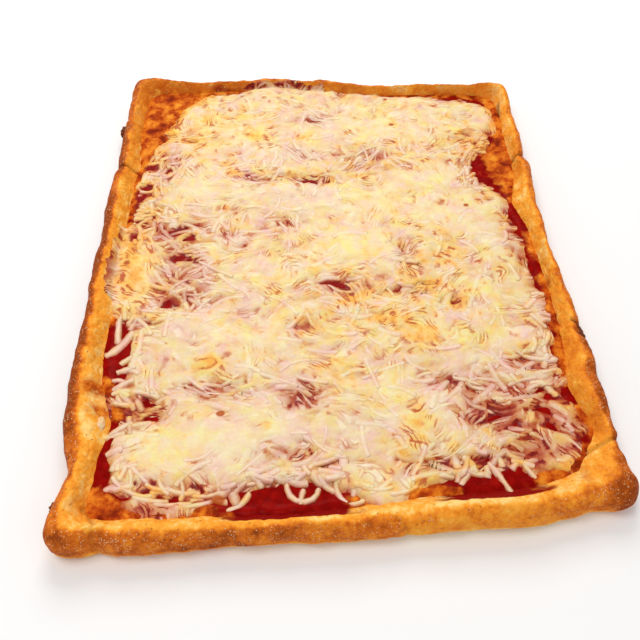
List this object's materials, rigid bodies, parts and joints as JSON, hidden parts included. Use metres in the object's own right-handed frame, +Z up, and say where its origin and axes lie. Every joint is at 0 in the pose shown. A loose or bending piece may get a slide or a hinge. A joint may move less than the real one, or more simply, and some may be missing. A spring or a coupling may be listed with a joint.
{
  "type": "sicilian pizza",
  "caption": "Whole rectangular Sicilian pizza: thick crust with a raised uneven rim, a tomato sauce layer and a sheet of melted shredded cheese with loose shreds at its edge.",
  "frame": {"origin": "on the surface it rests on, under the middle of the whole part's box", "axes": "+Z up, out of the toppings; +Y along the long side, away from the usual viewer; +X to the viewer's right"},
  "size_m": [0.3477, 0.4323, 0.0259],
  "materials": {
    "crust": "baked dough, golden to toasted brown, matt with a dusting of fine meal",
    "sauce": "wet tomato sauce, deep red and glossy",
    "cheese": "melted shredded cheese, cream to yellow, soft satin with oil between the shreds"
  },
  "bodies": {
    "root": {"crust": "crust", "sauce": "sauce", "cheese": "cheese"}
  },
  "joints": []
}
